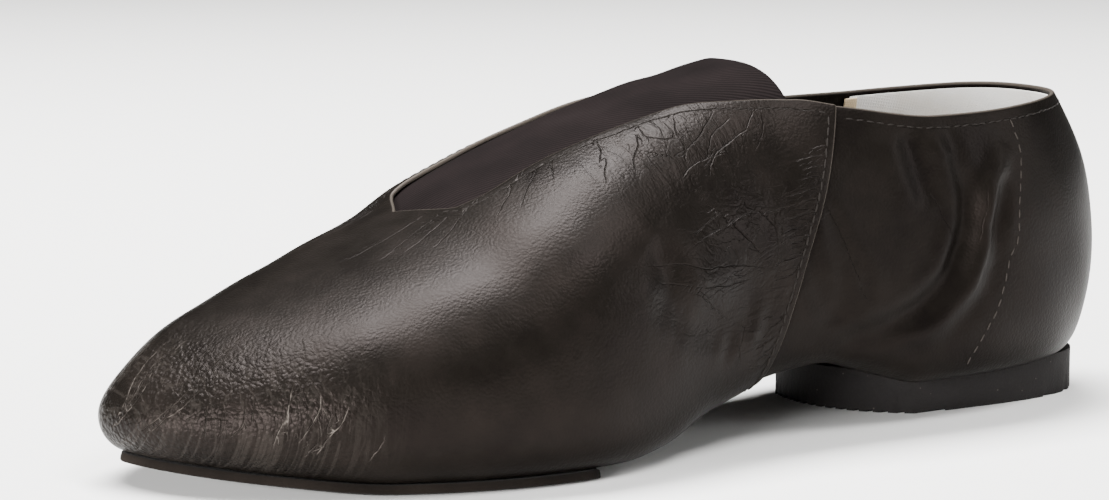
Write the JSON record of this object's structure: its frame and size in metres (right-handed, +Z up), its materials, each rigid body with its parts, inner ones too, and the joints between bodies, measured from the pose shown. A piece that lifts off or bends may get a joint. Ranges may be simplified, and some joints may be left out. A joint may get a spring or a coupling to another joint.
{
  "type": "jazz shoe",
  "caption": "Slip-on jazz shoe for the left foot: soft leather upper with an elastic gore over the instep and a split sole of forefoot pad and low heel block.",
  "frame": {"origin": "on the floor, under the centre of the shoe's box", "axes": "+X from heel to toe, +Y to the outer side of the foot, +Z up"},
  "size_m": [0.2492, 0.088, 0.0826],
  "materials": {
    "upper_leather": "soft black leather with a low gloss",
    "gore_elastic": "matt ribbed black elastic",
    "insole_cloth": "matt dark lining cloth",
    "sole_suede": "matt dark suede",
    "heel_rubber": "matt black rubber"
  },
  "bodies": {
    "root": {"upper": "upper_leather", "backstay": "upper_leather", "gore": "gore_elastic", "insole": "insole_cloth", "forefoot_sole": "sole_suede", "heel_block": "heel_rubber"}
  },
  "joints": []
}
